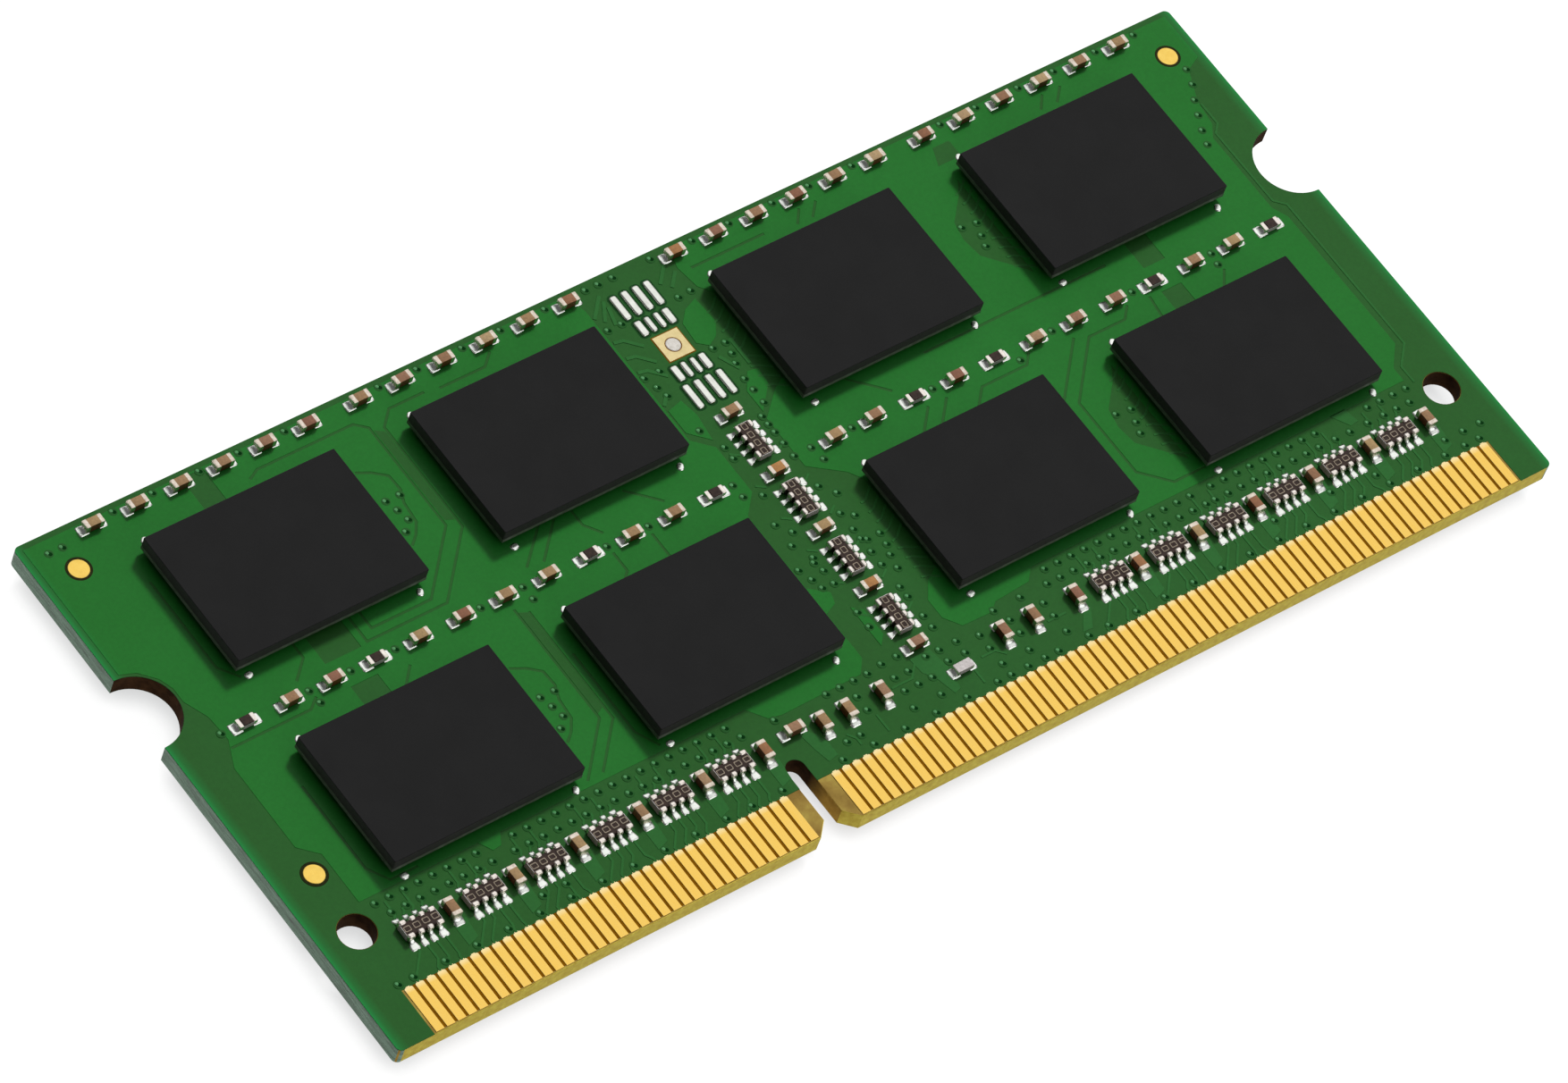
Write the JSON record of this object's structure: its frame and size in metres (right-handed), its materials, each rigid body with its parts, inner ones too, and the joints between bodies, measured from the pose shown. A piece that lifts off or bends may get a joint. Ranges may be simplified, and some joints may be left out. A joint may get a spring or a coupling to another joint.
{
  "type": "laptop memory module",
  "caption": "Keyed green circuit board for a laptop memory socket, with gold edge contacts, memory chips on both faces and rows of tiny capacitors and resistors.",
  "frame": {"origin": "centre of the footprint, level with the faces of the back packages on which the module lies", "axes": "+X runs along the board's length, +Y from the contact edge to the opposite long edge, +Z is the front face's outward normal"},
  "size_m": [0.0676, 0.03, 0.0032],
  "materials": {
    "laminate": "cut edge of woven glass-epoxy laminate, matte",
    "solder_mask": "semi-gloss green solder mask over copper planes and tracks",
    "contact_gold": "satin hard gold plating",
    "mould_compound": "fine matte epoxy mould compound",
    "die_silicon": "ground silicon",
    "package_substrate": "dark green package laminate with bright solder balls",
    "chip_components": "fired ceramic and dark glass between bright tin ends",
    "spd_package": "matte mould compound with tinned leads"
  },
  "bodies": {
    "root": {"pcb_laminate": "laminate", "solder_mask_front": "solder_mask", "contacts_front": "contact_gold", "solder_mask_back": "solder_mask", "contacts_back": "contact_gold", "dram_front_1_mould_cap": "mould_compound", "dram_front_1_die": "die_silicon", "dram_front_1_substrate": "package_substrate", "dram_front_2_mould_cap": "mould_compound", "dram_front_2_die": "die_silicon", "dram_front_2_substrate": "package_substrate", "dram_front_3_mould_cap": "mould_compound", "dram_front_3_die": "die_silicon", "dram_front_3_substrate": "package_substrate", "dram_front_4_mould_cap": "mould_compound", "dram_front_4_die": "die_silicon", "dram_front_4_substrate": "package_substrate", "dram_front_5_mould_cap": "mould_compound", "dram_front_5_die": "die_silicon", "dram_front_5_substrate": "package_substrate", "dram_front_6_mould_cap": "mould_compound", "dram_front_6_die": "die_silicon", "dram_front_6_substrate": "package_substrate", "dram_front_7_mould_cap": "mould_compound", "dram_front_7_die": "die_silicon", "dram_front_7_substrate": "package_substrate", "dram_front_8_mould_cap": "mould_compound", "dram_front_8_die": "die_silicon", "dram_front_8_substrate": "package_substrate", "dram_back_1_mould_cap": "mould_compound", "dram_back_1_die": "die_silicon", "dram_back_1_substrate": "package_substrate", "dram_back_2_mould_cap": "mould_compound", "dram_back_2_die": "die_silicon", "dram_back_2_substrate": "package_substrate", "dram_back_3_mould_cap": "mould_compound", "dram_back_3_die": "die_silicon", "dram_back_3_substrate": "package_substrate", "dram_back_4_mould_cap": "mould_compound", "dram_back_4_die": "die_silicon", "dram_back_4_substrate": "package_substrate", "dram_back_5_mould_cap": "mould_compound", "dram_back_5_die": "die_silicon", "dram_back_5_substrate": "package_substrate", "dram_back_6_mould_cap": "mould_compound", "dram_back_6_die": "die_silicon", "dram_back_6_substrate": "package_substrate", "dram_back_7_mould_cap": "mould_compound", "dram_back_7_die": "die_silicon", "dram_back_7_substrate": "package_substrate", "dram_back_8_mould_cap": "mould_compound", "dram_back_8_die": "die_silicon", "dram_back_8_substrate": "package_substrate", "capacitors_front_top_edge": "chip_components", "passives_front_middle": "chip_components", "resistor_arrays_front_bottom": "chip_components", "capacitors_back_top_edge": "chip_components", "passives_back_middle": "chip_components", "resistor_arrays_back_bottom": "chip_components", "spd_eeprom": "spd_package"}
  },
  "joints": []
}
